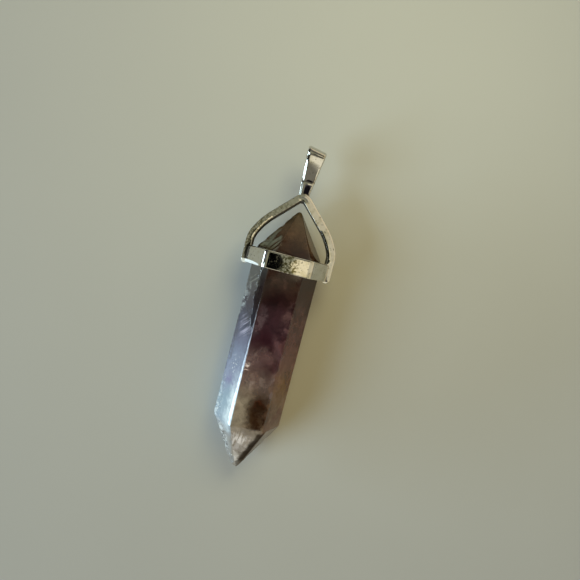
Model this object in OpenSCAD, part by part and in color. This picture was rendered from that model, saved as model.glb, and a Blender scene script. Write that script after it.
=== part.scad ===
// Crystal pendant: a six-sided stone with a point at each end, held near its upper point by a
// hexagonal metal collar with a bow over the point and a strap bail on top.
// Millimetres. The pendant lies on its back, bail towards +Y, as it rests on a table.

/* [Stone] */
// Width of the stone across two opposite long edges
stone_w = 8.4; // [7.8:0.1:9.2]
// Length of the stone from tip to tip, before the lower tip was blunted
stone_len = 33.85; // [30:0.05:36]
// Height of the lower point, from its unblunted tip to the shoulder
lower_point = 6.8; // [5.5:0.1:8]
// Height of the upper point, from the shoulder to its tip
upper_point = 5.7; // [5:0.1:6.5]
// How much of the lower tip is ground away, slantwise
tip_blunt = 0.8; // [0.3:0.05:1.2]
// Turn of the lower point's facets against the long sides, in degrees
lower_turn = 2; // [0:1:8]
// Turn of the upper point's facets against the long sides, in degrees
upper_turn = 7; // [0:1:8]
// Greatest width of the narrow facet along the front left edge
sliver_w = 0.75; // [0.2:0.05:0.9]
// Length of the narrow facet, measured up from the lower shoulder
sliver_len = 16; // [10:0.5:18]

/* [Collar] */
// Thickness of the collar's wall
collar_wall = 1.25; // [1:0.05:1.5]
// Height of the collar along the stone
collar_h = 2.1; // [1.5:0.1:2.5]
// Bevel along both rims
rim_bevel = 0.2; // [0.1:0.05:0.3]
// Layer of glue between the stone and the collar
glue_gap = 0.05; // [0.03:0.01:0.1]

/* [Bow] */
// Width of the bow's strip, seen from the front
strip_w = 0.95; // [0.8:0.05:1.1]
// Depth of the strip from front to back
strip_d = 2.2; // [1.8:0.1:2.6]
// Bevel along the strip's four edges
strip_bevel = 0.18; // [0.1:0.02:0.24]
// Distance between the upper tip and the inside of the bow
tip_gap = 0.85; // [0.7:0.05:1.4]
// Angle between an arm of the bow and the pendant's long axis
arm_angle = 44.4; // [42:0.2:47]
// Share of that angle that the tight bend at the shoulder makes
shoulder_angle = 24; // [18:1:28]
// Radius of the tight bend, along the middle of the strip
shoulder_r = 2.7; // [2.2:0.1:3.2]
// Radius of the easy bend above it
arm_r = 8.5; // [7:0.5:9.5]
// Radius of the bend at the top of the bow
top_r = 0.9; // [0.8:0.05:1.1]
// How far the legs reach past the collar's lower rim
leg_drop = 0.2; // [0:0.05:0.4]

/* [Bail] */
// Height of the bail above the bow
bail_h = 6; // [5.6:0.1:7]
// Width of the bail's strap at the top
bail_top_w = 2.4; // [1.8:0.05:2.6]
// Width of the bail's strap at its foot
bail_foot_w = 1.3; // [1:0.05:1.6]
// Depth of the bail's loop from front to back
bail_depth = 3.6; // [3.2:0.1:4]
// Height of the bend over the top of the loop
bail_bend = 1.05; // [0.9:0.05:1.4]
// Thickness of the strap
bail_wall = 0.5; // [0.4:0.05:0.6]
// How far the bail leans to the right, in degrees
bail_lean = 2.5; // [0:0.5:4]
// Depth of the closed neck below the loop
neck_d = 1.1; // [0.9:0.1:1.4]
// Height of the closed neck
neck_h = 1.7; // [1.4:0.1:2]

/* [Hidden] */
$fn = 96;

// Stone: distance from its axis to a corner and to a long side
stone_r = stone_w / 2;
stone_side = stone_r * cos(30);
upper_shoulder = stone_len - upper_point;
// Slant of the cut that blunts the lower tip
blunt_slant = 23;
// The narrow facet faces this many degrees left of the front, between the front side and the next
// side at 60. Its width and direction give how deep it cuts the edge.
sliver_side = 40;
sliver_cut = sliver_w * sin(60 - sliver_side) * sin(sliver_side) / sin(60);
sliver_tilt = atan(sliver_cut / sliver_len);

// Collar: level with the stone's upper shoulder
bore_r = (stone_side + glue_gap) / cos(30);
collar_side = stone_side + glue_gap + collar_wall;
collar_r = collar_side / cos(30);
collar_low = upper_shoulder - collar_h;
// The corners are rounded off by this much, and the two side corners are cut flat under the legs
corner_trim = 0.07;
side_trim = 0.4;

// Bow: the middle line of its right half is a leg, two bends, a straight arm and the bend at the top.
// The centres of the bends follow from the leg's place and the height of the top.
leg_out = 0.13;
leg_x = collar_r - leg_out - strip_w / 2;
leg_foot = collar_low - leg_drop + strip_w / 2;
bow_top = stone_len + tip_gap + strip_w;
top_centre = [0, bow_top - strip_w / 2 - top_r];
arm_offset = (shoulder_r - arm_r) * [cos(shoulder_angle), sin(shoulder_angle)];
arm_centre_x = leg_x - shoulder_r + arm_offset.x;
arm_centre_y = top_centre.y + (top_r - arm_r - arm_centre_x * cos(arm_angle)) / sin(arm_angle);
arm_centre = [arm_centre_x, arm_centre_y];
shoulder_centre = arm_centre - arm_offset;
// Steps of each bend, and of the rounding at a leg's end
shoulder_steps = 4;
arm_steps = 4;
top_steps = 5;
end_turns = [78, 52, 26];

// Bail: a strap bent to a flattened loop over a closed neck. In side view the bend over the top is more
// than half an ellipse, and a flank runs from its end down to the neck.
loop_r = bail_depth / 2;
loop_y = bow_top + bail_h - bail_bend;
neck_y = bow_top + neck_h;
// How steep the flank starts, in degrees against the strap's length
flank_lean = 38;
// The lower end of the eye, and how deep the neck goes into the bow
eye_low_r = 0.18;
eye_low_y = neck_y + 0.7;
neck_root = 0.4;
bail_corner = 0.25;
// The bail leans about a point this far above the bow
lean_y = bow_top + 1.5;

// Rest pose: the collar's back rim and the lowest corner of the stone's back face touch the table
back_y = lower_point * (stone_side * cos(lower_turn) - stone_r / 2 * sin(lower_turn)) / stone_side;
rim_y = collar_low + rim_bevel;
rest_tilt = atan((collar_side - stone_side) / (rim_y - back_y));
rest_lift = stone_side * cos(rest_tilt) - back_y * sin(rest_tilt);
// Ends of the pendant along the table: the blunted tip at the lower point's right edge, and the bail's top
low_end = tip_blunt / (1 + stone_r / lower_point * tan(blunt_slant)) * cos(rest_tilt);
top_corner = [bail_top_w / 2 - bail_corner, loop_y - lean_y];
high_mid = lean_y + top_corner.x * sin(bail_lean) + top_corner.y * cos(bail_lean);
high_end = high_mid * cos(rest_tilt)
    + norm([bail_bend * cos(bail_lean) * cos(rest_tilt), loop_r * sin(rest_tilt)]);
mid_y = (low_end + high_end) / 2;

module lay_down() {
    translate([0, -mid_y, rest_lift])
        rotate([rest_tilt, 0, 0])
            children();
}

// A long bar whose outline, across and along the pendant, faces the given side:
// 0 is the front, 90 the right
module bar_facing(side, width) {
    rotate([0, side - 90, 0])
        linear_extrude(width, center = true)
            children();
}

// Two facets that meet at the lower tip, one facing the given side and one facing away from it
module lower_wedge(side) {
    reach = 2 * stone_side;
    bar_facing(side, 4 * stone_r)
        polygon([
            [0, 0], [reach, 2 * lower_point], [reach, stone_len],
            [-reach, stone_len], [-reach, 2 * lower_point]
        ]);
}

// The same for the upper tip
module upper_wedge(side) {
    reach = 2 * stone_side;
    foot = stone_len - 2 * upper_point;
    bar_facing(side, 4 * stone_r)
        polygon([[0, stone_len], [reach, foot], [reach, 0], [-reach, 0], [-reach, foot]]);
}

// Grinds the lower tip away slantwise, more of it on the left
module tip_cutter() {
    block = 4;
    translate([0, tip_blunt, 0])
        rotate([0, 0, -blunt_slant])
            translate([-block / 2, -block, -block / 2])
                cube(block);
}

// Cuts the narrow facet, which starts on the front left edge and widens downwards
module sliver_cutter() {
    block = 4;
    translate([-stone_r / 2, lower_point + sliver_len, stone_side])
        rotate([0, -sliver_side, 0])
            rotate([sliver_tilt, 0, 0])
                translate([-block / 2, -stone_len, 0])
                    cube([block, stone_len + block, block]);
}

module crystal() {
    color([0.42, 0.27, 0.38])
        lay_down()
            difference() {
                intersection() {
                    rotate([-90, 0, 0])
                        cylinder(h = stone_len, r = stone_r, $fn = 6);
                    intersection_for(side = [0, 60, 120])
                        lower_wedge(side + lower_turn);
                    intersection_for(side = [0, 60, 120])
                        upper_wedge(side + upper_turn);
                }
                tip_cutter();
                sliver_cutter();
            }
}

// Hexagonal ring with bevelled rims: three bars with bevelled outlines, where all three overlap
module collar() {
    top = collar_low + collar_h;
    inner = collar_side - rim_bevel;
    outline = [
        [-inner, collar_low], [inner, collar_low],
        [collar_side, collar_low + rim_bevel], [collar_side, top - rim_bevel],
        [inner, top], [-inner, top],
        [-collar_side, top - rim_bevel], [-collar_side, collar_low + rim_bevel]
    ];
    difference() {
        intersection() {
            intersection_for(side = [0, 60, 120])
                bar_facing(side, 3 * collar_r)
                    polygon(outline);
            translate([0, collar_low, 0])
                rotate([-90, 0, 0])
                    cylinder(h = collar_h, r = collar_r - corner_trim);
            translate([-collar_r + side_trim, collar_low, -collar_r])
                cube([2 * (collar_r - side_trim), collar_h, 2 * collar_r]);
        }
        translate([0, collar_low - 1, 0])
            rotate([-90, 0, 0])
                cylinder(h = collar_h + 2, r = bore_r, $fn = 6);
    }
}

// A station is [x, y, angle of the outward direction, width factor]
function bend(centre, radius, from, to, steps) = [
    for (i = [0 : steps])
        let (turn = from + (to - from) * i / steps)
            [centre.x + radius * cos(turn), centre.y + radius * sin(turn), turn, 1]
];

// The right half of the bow's middle line, from the rounded end of the leg to just before the top
function right_half() = concat(
    [for (turn = end_turns) [leg_x, leg_foot - strip_w / 2 * sin(turn), 0, cos(turn)]],
    [[leg_x, leg_foot, 0, 1]],
    bend(shoulder_centre, shoulder_r, 0, shoulder_angle, shoulder_steps),
    [for (i = [1 : arm_steps]) bend(arm_centre, arm_r, shoulder_angle, arm_angle, arm_steps)[i]],
    [for (i = [0 : top_steps - 1]) bend(top_centre, top_r, arm_angle, 90, top_steps)[i]]
);

function mirrored(stations) = [
    for (i = [len(stations) - 1 : -1 : 0])
        let (s = stations[i]) [-s.x, s.y, 180 - s[2], s[3]]
];

// The strip's bevelled cross-section at one station, as eight points
function ring(s) =
    let (
        out = [cos(s[2]), sin(s[2])],
        edge = s[3] * strip_w / 2,
        flat = s[3] * (strip_w / 2 - strip_bevel),
        deep = strip_d / 2 - (1 - s[3]) * strip_bevel,
        low = deep - s[3] * strip_bevel,
        outline = [
            [flat, deep], [-flat, deep], [-edge, low], [-edge, -low],
            [-flat, -deep], [flat, -deep], [edge, -low], [edge, low]
        ]
    )
    [for (p = outline) [s.x + p.x * out.x, s.y + p.x * out.y, p.y]];

// The bow: the cross-section carried from one leg's end over the top to the other's
module bow() {
    half = right_half();
    stations = concat(half, [[0, bow_top - strip_w / 2, 90, 1]], mirrored(half));
    last = len(stations) - 1;
    points = [for (s = stations) each ring(s)];
    sides = [
        for (i = [0 : last - 1], j = [0 : 7])
            let (k = (j + 1) % 8) [8 * i + j, 8 * i + k, 8 * (i + 1) + k, 8 * (i + 1) + j]
    ];
    ends = [[7, 6, 5, 4, 3, 2, 1, 0], [for (j = [0 : 7]) 8 * last + j]];
    polyhedron(points, concat(sides, ends));
}

// Side view of one side of a loop, from the top down: an ellipse as far as the flank's start, then the
// flank as a Bezier curve that ends upright at the low point
function loop_line(depth, rise, low, pull) =
    let (
        turn = atan(tan(flank_lean) * rise / depth),
        start = [depth * cos(turn), loop_y - rise * sin(turn)],
        first = start - pull.x * [sin(flank_lean), cos(flank_lean)],
        second = low + [0, pull.y]
    ) concat(
        [for (i = [0 : 11]) let (t = 90 - (90 + turn) * i / 12) [depth * cos(t), loop_y + rise * sin(t)]],
        [for (i = [0 : 10]) let (t = i / 10, u = 1 - t)
            u * u * u * start + 3 * u * u * t * first + 3 * u * t * t * second + t * t * t * low]
    );

// The points and their mirror image, as one closed outline
function both_sides(line) = concat(
    line, [for (i = [len(line) - 1 : -1 : 1]) [-line[i].x, line[i].y]]
);

// Side view of the bail, depth across and length upwards
module bail_side() {
    difference() {
        polygon(both_sides(concat(
            loop_line(loop_r, bail_bend, [neck_d / 2, neck_y], [1.2, 1.1]),
            [[neck_d / 2, bow_top - neck_root]]
        )));
        polygon(both_sides(concat(
            loop_line(loop_r - bail_wall, bail_bend - bail_wall, [eye_low_r, eye_low_y], [1, 0.8]),
            [[eye_low_r * 0.7, eye_low_y - eye_low_r * 0.7]]
        )));
    }
}

// Front view of the bail: a strap that widens upwards
module bail_front() {
    foot = bail_foot_w / 2;
    head = bail_top_w / 2;
    top = bow_top + bail_h;
    polygon([
        [-foot, bow_top - neck_root], [foot, bow_top - neck_root],
        [head, top - bail_corner], [head - bail_corner, top],
        [-head + bail_corner, top], [-head, top - bail_corner]
    ]);
}

module bail() {
    translate([0, lean_y, 0])
        rotate([0, 0, -bail_lean])
            translate([0, -lean_y, 0])
                intersection() {
                    rotate([0, -90, 0])
                        linear_extrude(2 * bail_top_w, center = true)
                            bail_side();
                    linear_extrude(2 * bail_depth, center = true)
                        bail_front();
                }
}

module cap() {
    color([0.80, 0.80, 0.76])
        lay_down() {
            collar();
            bow();
            bail();
        }
}

crystal();
cap();
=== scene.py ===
import math

import bpy
import numpy as np
from bpy.props import FloatProperty, FloatVectorProperty, IntProperty, PointerProperty, StringProperty
from mathutils import Matrix, Vector


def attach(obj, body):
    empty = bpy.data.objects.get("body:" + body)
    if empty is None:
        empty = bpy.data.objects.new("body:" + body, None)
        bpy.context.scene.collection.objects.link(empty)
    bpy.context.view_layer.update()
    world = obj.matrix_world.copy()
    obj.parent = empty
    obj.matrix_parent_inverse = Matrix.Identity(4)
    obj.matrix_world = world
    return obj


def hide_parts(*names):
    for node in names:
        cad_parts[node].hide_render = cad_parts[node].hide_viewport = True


bl_info = {
    "name": "Crystal pendant",
    "version": (1, 0, 0),
    "blender": (4, 5, 0),
    "location": "3D View > Sidebar > Pendant",
    "description": "A six-sided crystal point in a metal collar with a bow and a strap bail",
    "category": "Add Mesh",
}

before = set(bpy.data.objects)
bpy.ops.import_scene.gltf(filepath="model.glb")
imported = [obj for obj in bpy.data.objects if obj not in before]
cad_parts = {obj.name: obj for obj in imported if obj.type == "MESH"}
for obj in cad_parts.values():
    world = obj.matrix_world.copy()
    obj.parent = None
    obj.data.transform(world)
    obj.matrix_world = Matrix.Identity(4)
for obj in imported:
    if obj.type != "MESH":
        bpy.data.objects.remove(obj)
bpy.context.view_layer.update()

MM = 0.001
SIX = np.radians(60) * np.arange(6)
# A hexagon's sides lie at this share of its corners' distance from the middle
SIDE_SHARE = math.cos(math.radians(30))
# Rise over run of a hexagon's slanting sides
SLOPE = math.tan(math.radians(30))
# The outside of a bow's leg lies this far inside the collar's sharp side corner
LEG_INSET = 0.13 * MM
# The solder of two closed meshes is worked out this many times larger, away from rounding limits
ROOMY = 1000.0


def millimetres(name, description, default):
    """A setting for a length, whose default is given in millimetres."""
    return FloatProperty(name=name, description=description, default=default * MM, unit="LENGTH", precision=6)


def degrees(name, description, default):
    """A setting for an angle, whose default is given in degrees."""
    return FloatProperty(name=name, description=description, default=math.radians(default), subtype="ANGLE")


class StoneSizes(bpy.types.PropertyGroup):
    """The stone's facets, in the pendant's own frame: X right, Y from the lower point to the bail, Z front"""

    width: millimetres("Width", "Across two opposite long edges", 8.4)
    length: millimetres("Length", "From tip to tip, before the lower tip was blunted", 33.85)
    lower_point: millimetres("Lower point", "From the unblunted lower tip to the shoulder", 6.8)
    upper_point: millimetres("Upper point", "From the upper shoulder to the tip", 5.7)
    lower_turn: degrees("Lower turn", "Turn of the lower point's facets against the long sides", 2)
    upper_turn: degrees("Upper turn", "Turn of the upper point's facets against the long sides", 7)
    blunt: millimetres("Blunted tip", "How much of the lower tip is ground away", 0.8)
    blunt_slant: degrees("Slant of the blunting", "More is ground away on the left", 23)
    tip_round: millimetres("Worn tip", "Radius of the upper tip", 0.33)
    sliver_width: millimetres(
        "Narrow facet's width", "Greatest width of the facet along the front left edge", 0.75)
    sliver_length: millimetres("Narrow facet's length", "Measured up from the lower shoulder", 16)
    sliver_side: degrees("Narrow facet's direction", "How far left of the front it faces", 40)
    edge_round: millimetres("Edge rounding", "Reach of the smooth minimum that rounds the edges", 0.025)
    chip_seed: IntProperty(
        name="Chips", description="Seed of the chipped places along the worn edges", default=11, min=0)


class CapSizes(bpy.types.PropertyGroup):
    """The soldered metal: collar, bow and bail"""

    collar_wall: millimetres("Collar wall", "Thickness of the collar", 1.25)
    collar_height: millimetres("Collar height", "Along the stone", 2.1)
    collar_corner: millimetres("Collar corner", "Radius of the collar's long edges", 0.8)
    upper_rim: millimetres("Upper rim", "Radius along the collar's upper rim", 0.22)
    lower_rim: millimetres("Lower rim", "Radius along the collar's lower rim", 0.1)
    glue_gap: millimetres("Glue", "Between stone and collar", 0.05)
    strip_width: millimetres("Bow strip width", "Seen from the front", 0.95)
    strip_depth: millimetres("Bow strip depth", "From front to back", 2.2)
    strip_bevel: millimetres(
        "Bow bevel", "Width of the bevel along the right front and back edge of each arm", 0.22)
    strip_edge: millimetres("Bow edge", "Width of the slight bevel along the left edges", 0.03)
    tip_gap: millimetres("Tip gap", "From the upper tip to the bow", 0.85)
    arm_angle: degrees("Arm angle", "Between an arm of the bow and the long axis", 44.4)
    shoulder_angle: degrees("Shoulder angle", "Share of that angle in the tight bend", 24)
    shoulder_radius: millimetres("Shoulder bend", "Radius of the tight bend", 2.7)
    arm_radius: millimetres("Arm bend", "Radius of the easy bend", 8.5)
    top_radius: millimetres("Top bend", "Radius at the top of the bow", 0.9)
    leg_drop: millimetres("Leg drop", "How far the legs pass the collar", 0.2)
    bail_height: millimetres("Bail height", "Above the bow", 6)
    bail_top_width: millimetres("Strap width, top", "Width of the strap at the top", 2.4)
    bail_foot_width: millimetres("Strap width, foot", "Width of the strap at the bow", 1.3)
    bail_depth: millimetres("Bail depth", "Of the loop, from front to back", 3.6)
    bail_bend: millimetres("Bail bend", "Height of the bend over the top of the loop", 1.05)
    bail_wall: millimetres("Strap thickness", "Of the bail's strap", 0.5)
    bail_lean: degrees("Bail lean", "To the right", 2.5)
    bail_askew: degrees("Askew top", "Slope of the bent top, lower on the right", 10)
    flank_lean: degrees("Flank", "How steep the strap's flank starts below the bend", 34)
    flank_end: degrees("Flank's end", "How steep the flank ends above the neck", 12)
    neck_depth: millimetres("Neck depth", "Where the strap is closed", 1.1)
    neck_height: millimetres("Neck height", "Above the bow", 1.7)


class Finish(bpy.types.PropertyGroup):
    """Colours, as sRGB hex values"""

    silver: StringProperty(name="Silver plate", description="Where it is clean", default="#D2D0C9")
    tarnish: StringProperty(name="Tarnish", description="Thin olive film", default="#A9A487")
    floor: StringProperty(name="Table", description="Pale matt laminate", default="#C8CACB")


class Studio(bpy.types.PropertyGroup):
    """The camera"""

    distance: millimetres("Camera distance", "From the point that it looks at", 69)
    aim: FloatVectorProperty(
        name="Aim", description="The point in the middle of the picture",
        default=(1.2 * MM, 2.8 * MM, 5 * MM), subtype="XYZ", unit="LENGTH", precision=5)
    lean: degrees("Lean", "Of the camera towards the pendant's left", 3)
    roll: degrees("Roll", "Turn of the picture", 14.48)
    lens_share: FloatProperty(
        name="Lens", description="Focal length over the sensor's width", default=0.962069)


def stone_side(stone):
    """Distance of the stone's long sides from its axis."""
    return stone.width / 2 * SIDE_SHARE


def collar_side(stone, cap):
    """Distance of the collar's outer faces from the axis."""
    return stone_side(stone) + cap.glue_gap + cap.collar_wall


def collar_low(stone, cap):
    """Height of the collar's lower edge. Its upper edge is level with the stone's upper shoulder."""
    return stone.length - stone.upper_point - cap.collar_height


def leg_middle(stone, cap):
    """Distance of the middle line of a bow's leg from the axis."""
    return collar_side(stone, cap) / SIDE_SHARE - LEG_INSET - cap.strip_width / 2


def bow_top(stone, cap):
    """Height of the bow's outermost point, where the bail stands."""
    return stone.length + cap.tip_gap + cap.strip_width


def loop_middle(stone, cap):
    """Height of the widest place of the bail's loop."""
    return bow_top(stone, cap) + cap.bail_height - cap.bail_bend


def lean_point(stone, cap):
    """Height of the point about which the bail leans, in its neck."""
    return bow_top(stone, cap) + 1.5 * MM


def resting_place(stone, cap):
    """The tilt about X and the shift with which the pendant lies on its back: the collar's back rim and the
    lowest corner of the stone's back side touch the table, and the middle of its length is at the origin."""
    side = stone_side(stone)
    turned = side * math.cos(stone.lower_turn) - stone.width / 4 * math.sin(stone.lower_turn)
    back_y = stone.lower_point * turned / side
    rim_bevel = 0.2 * MM
    rim_y = collar_low(stone, cap) + rim_bevel
    tilt = math.atan((collar_side(stone, cap) - side) / (rim_y - back_y))
    lift = side * math.cos(tilt) - back_y * math.sin(tilt)
    # The lowest corner of the slanting cut through the lower tip
    spread = stone.width / 2 / stone.lower_point * math.tan(stone.blunt_slant)
    low_end = stone.blunt / (1 + spread) * math.cos(tilt)
    # The highest place of the leaning bail, where its top corner meets the bevel
    corner_bevel = 0.25 * MM
    corner = cap.bail_top_width / 2 - corner_bevel
    height = loop_middle(stone, cap) - lean_point(stone, cap)
    high = lean_point(stone, cap) + corner * math.sin(cap.bail_lean) + height * math.cos(cap.bail_lean)
    high_end = high * math.cos(tilt) + math.hypot(
        cap.bail_bend * math.cos(cap.bail_lean) * math.cos(tilt), cap.bail_depth / 2 * math.sin(tilt))
    return tilt, (0.0, -(low_end + high_end) / 2, lift)


def laid_down(points, stone, cap):
    """Points of the pendant's own frame, turned about X and shifted to where it rests."""
    tilt, shift = resting_place(stone, cap)
    turn = np.array(Matrix.Rotation(tilt, 3, "X"))
    return points @ turn.T + np.array(shift)


def grid_mesh(name, points, closed_rows, first_pole=None, last_pole=None):
    """A mesh from a grid of points, rows by columns. The columns close on themselves. The rows close too, or
    each end is shut: by a fan to its pole, or by one face where no pole is given."""
    rows, columns = points.shape[:2]
    index = np.arange(rows * columns).reshape(rows, columns)
    last = rows if closed_rows else rows - 1
    low = index[np.arange(last)]
    high = index[(np.arange(last) + 1) % rows]
    quads = np.stack([low, np.roll(low, -1, 1), np.roll(high, -1, 1), high], 2).reshape(-1, 4)
    vertices = points.reshape(-1, 3)
    faces = quads.tolist()
    if not closed_rows:
        for ring, pole, flip in ((index[0], first_pole, True), (index[-1], last_pole, False)):
            loop = ring[::-1] if flip else ring
            if pole is None:
                faces.append(loop.tolist())
            else:
                tip = len(vertices)
                vertices = np.vstack([vertices, pole])
                faces += np.stack([loop, np.roll(loop, -1), np.full(columns, tip)], 1).tolist()
    mesh = bpy.data.meshes.new(name)
    mesh.from_pydata(vertices, [], faces)
    mesh.validate()
    return mesh


def facing_out(mesh):
    """Turns a closed mesh right side out if the volume that its faces enclose comes out negative."""
    mesh.calc_loop_triangles()
    points = np.empty(len(mesh.vertices) * 3)
    mesh.vertices.foreach_get("co", points)
    corners = np.empty(len(mesh.loop_triangles) * 3, int)
    mesh.loop_triangles.foreach_get("vertices", corners)
    a, b, c = (points.reshape(-1, 3)[corners.reshape(-1, 3)[:, i]] for i in range(3))
    if np.einsum("ij,ij->i", a, np.cross(b, c)).sum() < 0:
        mesh.flip_normals()
    return mesh


def placed(name, mesh, body, node=None):
    """Makes the finished mesh an object at the origin, which rides on a body of the frame."""
    piece = bpy.data.objects.new(name, mesh)
    bpy.context.scene.collection.objects.link(piece)
    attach(piece, body)
    if node:
        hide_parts(node)
    return piece


def stone_planes(stone):
    """The stone's facets, as the outward directions of their planes and the planes' distances from the
    unblunted lower tip: six long sides, six facets through each tip, the slanting cut at the lower tip, the
    narrow facet along the front left edge, and small planes round a ball in the upper tip, which wear it
    down."""
    side = stone_side(stone)

    def six(turn, rise, distance):
        """Six planes round the axis, from a direction that is not yet of length 1."""
        directions = np.stack([np.sin(SIX + turn), np.full(6, rise), np.cos(SIX + turn)], 1)
        size = math.hypot(1, rise)
        return directions / size, np.full(6, distance / size)

    lower_rise = side / stone.lower_point
    upper_rise = side / stone.upper_point
    sides = six(0, 0, side)
    lower = six(stone.lower_turn, -lower_rise, 0)
    upper = six(stone.upper_turn, upper_rise, upper_rise * stone.length)
    slant = stone.blunt_slant
    blunt = np.array([[-math.sin(slant), -math.cos(slant), 0]])
    # The narrow facet cuts a triangle off its edge at the shoulder, and leans so far that it runs out at its
    # upper end
    facing, sixth = stone.sliver_side, math.radians(60)
    cut = stone.sliver_width * math.sin(sixth - facing) * math.sin(facing) / math.sin(sixth)
    lean = math.atan(cut / stone.sliver_length)
    sliver = np.array([[
        -math.sin(facing) * math.cos(lean), -math.sin(lean), math.cos(facing) * math.cos(lean)]])
    upper_end = np.array([-stone.width / 4, stone.lower_point + stone.sliver_length, side])
    # The ball touches the upper facets from inside
    steep = upper_rise / math.hypot(1, upper_rise)
    ball = np.array([0, stone.length - stone.tip_round / steep, 0])
    # Two rings of six planes, leaning out from the axis
    lean_out = np.radians(np.repeat([22, 42], 6))
    around = np.concatenate([SIX, SIX + math.radians(30)])
    worn = np.vstack([[0, 1, 0], np.stack([
        np.sin(lean_out) * np.sin(around), np.cos(lean_out), np.sin(lean_out) * np.cos(around)], 1)])
    directions = np.vstack([sides[0], lower[0], upper[0], blunt, sliver, worn])
    distances = np.concatenate([
        sides[1], lower[1], upper[1], [-math.cos(slant) * stone.blunt], sliver @ upper_end,
        worn @ ball + stone.tip_round])
    return directions, distances


def stone_chips(stone):
    """Chips along the worn edges, as the centres and radii of balls that bite into them. A chip's place runs
    along its edge, its ball touches the edge from outside and goes in by the chip's depth."""
    random = np.random.default_rng(stone.chip_seed)
    corner = stone.width / 2
    # The edge's direction round the axis in degrees, from and to along the stone in mm, how many chips it has
    # and their depth in mm
    worn = {
        "left edge": (-90, 19.5, 24.5, 7, 0.11),
        "left edge, low": (-90, 7.0, 13.0, 10, 0.07),
        "left edge of the lower point": (-88, 1.2, 6.9, 16, 0.10),
        "front left edge of the lower point": (-28, 1.0, 6.4, 11, 0.06),
        "front right edge of the lower point": (32, 1.0, 6.6, 6, 0.012),
        "right edge of the lower point": (92, 1.2, 6.8, 6, 0.05),
        "back edges of the lower point": (152, 1.2, 6.8, 6, 0.06),
        "back left edge of the lower point": (-148, 1.2, 6.8, 6, 0.06),
        "right edge": (90, 8.0, 25.0, 8, 0.04),
        "back left edge": (-150, 8.0, 25.0, 8, 0.05),
        "upper left edge": (-83, 28.5, 33.0, 4, 0.012),
        "upper front left edge": (-23, 28.5, 33.2, 3, 0.008),
    }
    # Balls of 0.2 to 0.7 mm bite 0.3 to 1.3 times the edge's depth, most of them within 2 degrees of the edge
    centres, radii = [], []
    for side, start, end, number, depth in worn.values():
        along = np.sort(random.uniform(start, end, number)) * MM
        ball = random.uniform(0.2, 0.7, number) * MM
        bite = depth * MM * random.uniform(0.3, 1.3, number)
        turn = np.radians(side) + random.normal(0, 0.03, number)
        lower = corner * along / stone.lower_point
        upper = corner * (stone.length - along) / stone.upper_point
        reach = np.minimum(np.minimum(lower, upper), corner) + ball - bite
        centres.append(np.stack([np.sin(turn) * reach, along, np.cos(turn) * reach], 1))
        radii.append(ball)
    return np.vstack(centres), np.concatenate(radii)


def stone_rows(stone):
    """Places along the axis at which the rays of a row aim: close together at the blunted tip and at the two
    shoulders, where the edges between the facets need them."""
    low, high, end = stone.lower_point, stone.length - stone.upper_point, stone.length
    # From where, to where and how many
    stretches = [
        (0.03 * MM, 0.55 * MM, 8), (0.55 * MM, 1.25 * MM, 28), (1.25 * MM, low - 0.2 * MM, 60),
        (low - 0.2 * MM, low + 0.2 * MM, 16), (low + 0.2 * MM, high - 0.45 * MM, 150),
        (high - 0.45 * MM, high + 0.45 * MM, 30), (high + 0.45 * MM, end - 0.3 * MM, 36),
        (end - 0.3 * MM, end - 0.01 * MM, 10)]
    return np.concatenate([np.linspace(a, b, n, endpoint=False) for a, b, n in stretches])


def stone_columns(stone):
    """Directions round the axis: close together from just before a long edge to just past the same edge of
    the turned upper point, and along both sides of the narrow facet."""
    # How far in degrees the close rays reach before an edge, before the one with the narrow facet, and past
    # each edge
    before, before_facet, past = 1.5, 7.5, math.degrees(stone.upper_turn) + 1.6
    turns = []
    for edge in np.degrees(SIX) - 150:
        first = before_facet if round(edge) == -30 else before
        next_first = before_facet if round(edge) == -90 else before
        turns.append(edge + np.arange(-first, past, 0.5))
        turns.append(edge + np.linspace(past, 60 - next_first, 10)[1:-1])
    return np.radians(np.concatenate(turns))


def cut_stone(stone):
    """The stone's surface as a function of the place along the axis and the direction round it. From a point
    on the axis a ray goes out towards the six-sided outline at that place. It ends where it meets the first
    of the facets' planes, as a smooth minimum of the distances to all of them, which rounds the edges a
    little, or earlier where it runs into the ball of a chip."""
    side = stone_side(stone)
    along, round_axis = stone_rows(stone), stone_columns(stone)
    middle = (round_axis + math.radians(30)) % math.radians(60) - math.radians(30)
    outline = 1 / np.cos(middle)
    taper = np.minimum(np.minimum(along / stone.lower_point, (stone.length - along) / stone.upper_point), 1)
    radius = side * taper[:, None] * outline
    # The rays to the two points start on the axis, this far inside the shoulders
    inner = 0.5 * MM
    origin = np.clip(along, stone.lower_point + inner, stone.length - stone.upper_point - inner)
    ray = np.stack([
        radius * np.sin(round_axis), np.broadcast_to((along - origin)[:, None], radius.shape),
        radius * np.cos(round_axis)], 2)
    ray /= np.linalg.norm(ray, axis=2, keepdims=True)
    start = np.zeros((len(along), 1, 3))
    start[:, 0, 1] = origin
    directions, distances = stone_planes(stone)
    facing = ray @ directions.T
    # A ray that runs along a plane or away from it never meets it, so there the reach comes out huge
    reach = (distances - start @ directions.T) / np.where(facing > 1e-6, facing, 1e-6)
    # A smooth minimum: the nearest, less the logarithm of how many others come close to it
    nearest = reach.min(2)
    spread = np.exp(-(reach - nearest[..., None]) / stone.edge_round).sum(2)
    reach = nearest - stone.edge_round * np.log(spread)
    centres, radii = stone_chips(stone)
    for centre, ball in zip(centres, radii):
        off = start - centre
        towards = (off * ray).sum(2)
        inside = towards**2 - (off**2).sum(2) + ball**2
        enters = -towards - np.sqrt(np.maximum(inside, 0))
        reach = np.where((inside > 0) & (enters > 0), np.minimum(reach, enters), reach)
    return start + ray * reach[..., None]


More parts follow.
